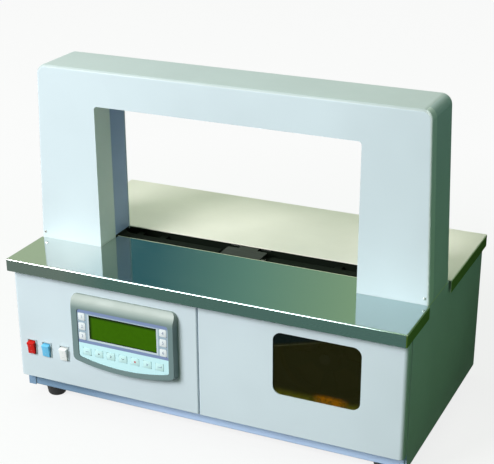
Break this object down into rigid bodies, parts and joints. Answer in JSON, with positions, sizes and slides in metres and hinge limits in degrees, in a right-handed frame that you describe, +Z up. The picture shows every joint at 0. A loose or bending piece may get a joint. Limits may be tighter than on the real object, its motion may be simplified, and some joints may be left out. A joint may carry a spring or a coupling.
{
  "type": "banknote strapping machine",
  "caption": "Tabletop strapping machine: a band runs round an arch over a steel table, and a sealing head under the slot tightens, joins and cuts it round a bundle of notes.",
  "frame": {"origin": "on the ground, midway between the ends and the front and rear edges of the tables", "axes": "+X to the right as seen by the operator, -Y out of the front with the control panel and door, +Z up"},
  "size_m": [0.582, 0.357, 0.476],
  "materials": {
    "case_paint": "satin",
    "base_paint": "satin",
    "polished_steel": "mirror polished",
    "satin_steel": "satin",
    "zinc_steel": "zinc plated",
    "guide_steel": "satin",
    "flap_steel": "satin",
    "panel_grey": "moulded",
    "film_cyan": "printed film",
    "display_green": "clear lens over a dark green display",
    "key_white": "satin",
    "switch_black": "moulded",
    "rocker_red": "moulded",
    "rocker_blue": "moulded",
    "rocker_white": "moulded",
    "plate_aluminium": "machined",
    "tool_steel": "ground",
    "motor_black": "satin",
    "tyre_orange": "matte",
    "reel_black": "moulded",
    "band_kraft": "paper-like, edge wound",
    "smoked_window": "smoked",
    "foot_rubber": "matte",
    "inlet_black": "moulded",
    "board_green": "laminate"
  },
  "bodies": {
    "machine": {"arch_back_plate": "case_paint", "arch_cover": "case_paint", "arch_guide_track": "guide_steel", "arch_posts": "zinc_steel", "base_pan": "base_paint", "control_board": "board_green", "display_window": "display_green", "door_catch": "zinc_steel", "door_pivots": "zinc_steel", "feed_motor": "motor_black", "flap_pins": "zinc_steel", "front_panel": "case_paint", "front_table": "polished_steel", "head_frame": "plate_aluminium", "keypad_film": "film_cyan", "main_plate": "plate_aluminium", "panel_housing": "panel_grey", "power_inlet": "inlet_black", "rear_panel": "case_paint", "rear_table": "satin_steel", "reel_spindle": "zinc_steel", "rubber_feet": "foot_rubber", "seal_motor": "motor_black", "side_panel_left": "case_paint", "side_panel_right": "case_paint", "slot_track": "polished_steel", "switch_bodies": "switch_black"},
    "door": {"front_door": "case_paint", "door_window": "smoked_window"},
    "power_rocker": {"power_rocker": "rocker_red"},
    "heater_rocker": {"heater_rocker": "rocker_blue"},
    "feed_rocker": {"feed_rocker": "rocker_white"},
    "flap_right": {"guide_flap_right": "flap_steel"},
    "flap_left": {"guide_flap_left": "flap_steel"},
    "flap_top": {"guide_flap_top": "flap_steel"},
    "anvil": {"anvil": "polished_steel"},
    "cam_shaft": {"cam_shaft": "tool_steel"},
    "grippers": {"grippers": "tool_steel"},
    "heater_press": {"heater_press": "tool_steel"},
    "cutter": {"cutter_blade": "tool_steel"},
    "feed_roller": {"feed_roller": "plate_aluminium", "feed_tyre": "tyre_orange"},
    "pinch_arm": {"pinch_arm": "zinc_steel"},
    "pinch_roller": {"pinch_roller": "plate_aluminium"},
    "reel": {"reel_hub": "reel_black", "band_roll": "band_kraft", "reel_cap": "reel_black"},
    "function_key_1": {"function_key_1": "key_white"},
    "function_key_2": {"function_key_2": "key_white"},
    "function_key_3": {"function_key_3": "key_white"},
    "function_key_4": {"function_key_4": "key_white"},
    "function_key_5": {"function_key_5": "key_white"},
    "function_key_6": {"function_key_6": "key_white"},
    "escape_key": {"escape_key": "key_white"},
    "left_key": {"left_key": "key_white"},
    "right_key": {"right_key": "key_white"},
    "up_key": {"up_key": "key_white"},
    "down_key": {"down_key": "key_white"},
    "set_key": {"set_key": "key_white"},
    "enter_key": {"enter_key": "key_white"}
  },
  "joints": [
    {"name": "door_hinge", "type": "hinge", "parent": "machine", "child": "door", "pos_m": [0.281, -0.156, 0.12], "axis": [0, 0, 1], "range_deg": [0, 90]},
    {"name": "power_rocker_tilt", "type": "hinge", "parent": "machine", "child": "power_rocker", "pos_m": [-0.264, -0.163, 0.0888], "axis": [1, 0, 0], "range_deg": [-20, 0]},
    {"name": "heater_rocker_tilt", "type": "hinge", "parent": "machine", "child": "heater_rocker", "pos_m": [-0.2398, -0.163, 0.0888], "axis": [1, 0, 0], "range_deg": [-20, 0]},
    {"name": "feed_rocker_tilt", "type": "hinge", "parent": "machine", "child": "feed_rocker", "pos_m": [-0.2112, -0.163, 0.0888], "axis": [1, 0, 0], "range_deg": [-20, 0]},
    {"name": "function_key_1_press", "type": "slide", "parent": "machine", "child": "function_key_1", "axis": [0, 1, 0], "range_m": [0, 0.0004], "stiffness_N_per_m": 300, "springref_m": -0.0005},
    {"name": "function_key_2_press", "type": "slide", "parent": "machine", "child": "function_key_2", "axis": [0, 1, 0], "range_m": [0, 0.0004], "stiffness_N_per_m": 300, "springref_m": -0.0005},
    {"name": "function_key_3_press", "type": "slide", "parent": "machine", "child": "function_key_3", "axis": [0, 1, 0], "range_m": [0, 0.0004], "stiffness_N_per_m": 300, "springref_m": -0.0005},
    {"name": "function_key_4_press", "type": "slide", "parent": "machine", "child": "function_key_4", "axis": [0, 1, 0], "range_m": [0, 0.0004], "stiffness_N_per_m": 300, "springref_m": -0.0005},
    {"name": "function_key_5_press", "type": "slide", "parent": "machine", "child": "function_key_5", "axis": [0, 1, 0], "range_m": [0, 0.0004], "stiffness_N_per_m": 300, "springref_m": -0.0005},
    {"name": "function_key_6_press", "type": "slide", "parent": "machine", "child": "function_key_6", "axis": [0, 1, 0], "range_m": [0, 0.0004], "stiffness_N_per_m": 300, "springref_m": -0.0005},
    {"name": "escape_key_press", "type": "slide", "parent": "machine", "child": "escape_key", "axis": [0, 1, 0], "range_m": [0, 0.0004], "stiffness_N_per_m": 300, "springref_m": -0.0005},
    {"name": "left_key_press", "type": "slide", "parent": "machine", "child": "left_key", "axis": [0, 1, 0], "range_m": [0, 0.0004], "stiffness_N_per_m": 300, "springref_m": -0.0005},
    {"name": "right_key_press", "type": "slide", "parent": "machine", "child": "right_key", "axis": [0, 1, 0], "range_m": [0, 0.0004], "stiffness_N_per_m": 300, "springref_m": -0.0005},
    {"name": "up_key_press", "type": "slide", "parent": "machine", "child": "up_key", "axis": [0, 1, 0], "range_m": [0, 0.0004], "stiffness_N_per_m": 300, "springref_m": -0.0005},
    {"name": "down_key_press", "type": "slide", "parent": "machine", "child": "down_key", "axis": [0, 1, 0], "range_m": [0, 0.0004], "stiffness_N_per_m": 300, "springref_m": -0.0005},
    {"name": "set_key_press", "type": "slide", "parent": "machine", "child": "set_key", "axis": [0, 1, 0], "range_m": [0, 0.0004], "stiffness_N_per_m": 300, "springref_m": -0.0005},
    {"name": "enter_key_press", "type": "slide", "parent": "machine", "child": "enter_key", "axis": [0, 1, 0], "range_m": [0, 0.0004], "stiffness_N_per_m": 300, "springref_m": -0.0005},
    {"name": "flap_right_swing", "type": "hinge", "parent": "machine", "child": "flap_right", "pos_m": [0.1919, -0.0095, 0.32], "axis": [0, 0, -1], "range_deg": [0, 15], "stiffness_Nm_per_rad": 0.05, "springref_deg": -22.92},
    {"name": "flap_left_swing", "type": "hinge", "parent": "machine", "child": "flap_left", "pos_m": [-0.1919, -0.0095, 0.32], "axis": [0, 0, 1], "range_deg": [0, 15], "stiffness_Nm_per_rad": 0.05, "springref_deg": -22.92},
    {"name": "flap_top_swing", "type": "hinge", "parent": "machine", "child": "flap_top", "pos_m": [0, -0.0095, 0.4284], "axis": [1, 0, 0], "range_deg": [0, 15], "stiffness_Nm_per_rad": 0.3, "springref_deg": -22.92},
    {"name": "anvil_slide", "type": "slide", "parent": "machine", "child": "anvil", "axis": [0, 1, 0], "range_m": [0, 0.036]},
    {"name": "cam_shaft_turn", "type": "hinge", "parent": "machine", "child": "cam_shaft", "pos_m": [0, -0.028, 0.12], "axis": [1, 0, 0], "range_deg": [0, 120.5]},
    {"name": "grippers_lift", "type": "slide", "parent": "machine", "child": "grippers", "axis": [0, 0, 1], "range_m": [0, 0.006]},
    {"name": "press_lift", "type": "slide", "parent": "machine", "child": "heater_press", "axis": [0, 0, 1], "range_m": [0, 0.0061]},
    {"name": "cutter_lift", "type": "slide", "parent": "machine", "child": "cutter", "axis": [0, 0, 1], "range_m": [0, 0.0061]},
    {"name": "feed_roller_spin", "type": "hinge", "parent": "machine", "child": "feed_roller", "pos_m": [0.068, -0.028, 0.178], "axis": [0, 1, 0], "continuous": true},
    {"name": "pinch_arm_swing", "type": "hinge", "parent": "machine", "child": "pinch_arm", "pos_m": [0.104, -0.006, 0.19995], "axis": [0, 1, 0], "range_deg": [0, 4], "stiffness_Nm_per_rad": 1, "springref_deg": -17.19},
    {"name": "pinch_roller_spin", "type": "hinge", "parent": "pinch_arm", "child": "pinch_roller", "pos_m": [0.068, -0.028, 0.20335], "axis": [0, 1, 0], "continuous": true},
    {"name": "reel_spin", "type": "hinge", "parent": "machine", "child": "reel", "pos_m": [0.139, -0.028, 0.104], "axis": [0, 1, 0], "continuous": true}
  ],
  "couplings": [
    {"joint": "cam_shaft_turn", "follows": "grippers_lift", "rad_per_m": 349.06},
    {"joint": "press_lift", "follows": "grippers_lift", "ratio": 1},
    {"joint": "cutter_lift", "follows": "grippers_lift", "ratio": 1},
    {"joint": "pinch_roller_spin", "follows": "feed_roller_spin", "ratio": -1.7778}
  ]
}
